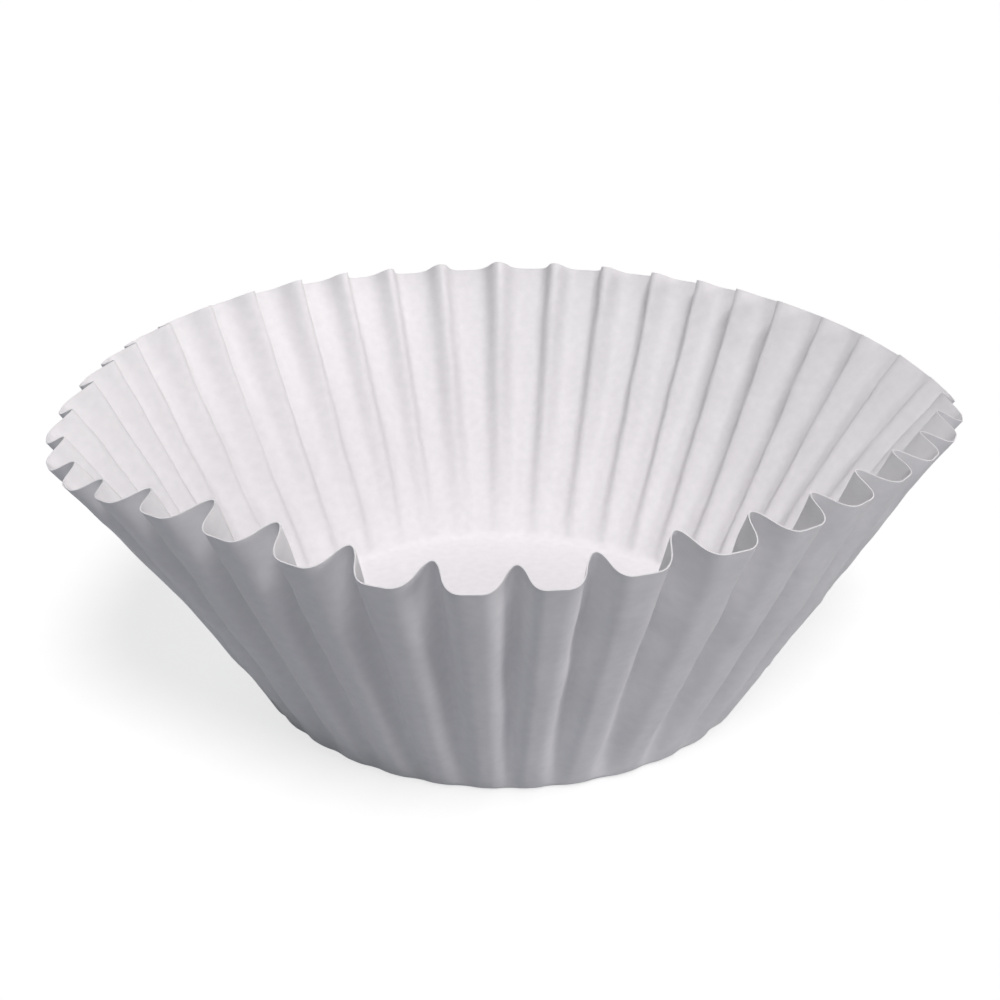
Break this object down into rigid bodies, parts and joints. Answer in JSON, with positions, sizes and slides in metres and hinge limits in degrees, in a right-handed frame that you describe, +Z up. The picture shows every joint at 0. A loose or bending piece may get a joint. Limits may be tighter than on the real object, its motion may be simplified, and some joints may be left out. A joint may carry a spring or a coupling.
{
  "type": "paper coffee filter",
  "caption": "Fluted basket coffee filter: a flat round base and a flared wall of soft flutes, pressed from one round sheet of white paper, open at the top.",
  "frame": {"origin": "centre of the base's underside", "axes": "+Z up along the cup's axis; X and Y level, X to the right and -Y towards the viewer as pictured"},
  "size_m": [0.181, 0.1778, 0.066],
  "materials": {
    "paper": "matt, fibrous, slightly see-through white filter paper"
  },
  "bodies": {
    "root": {"filter": "paper"}
  },
  "joints": []
}
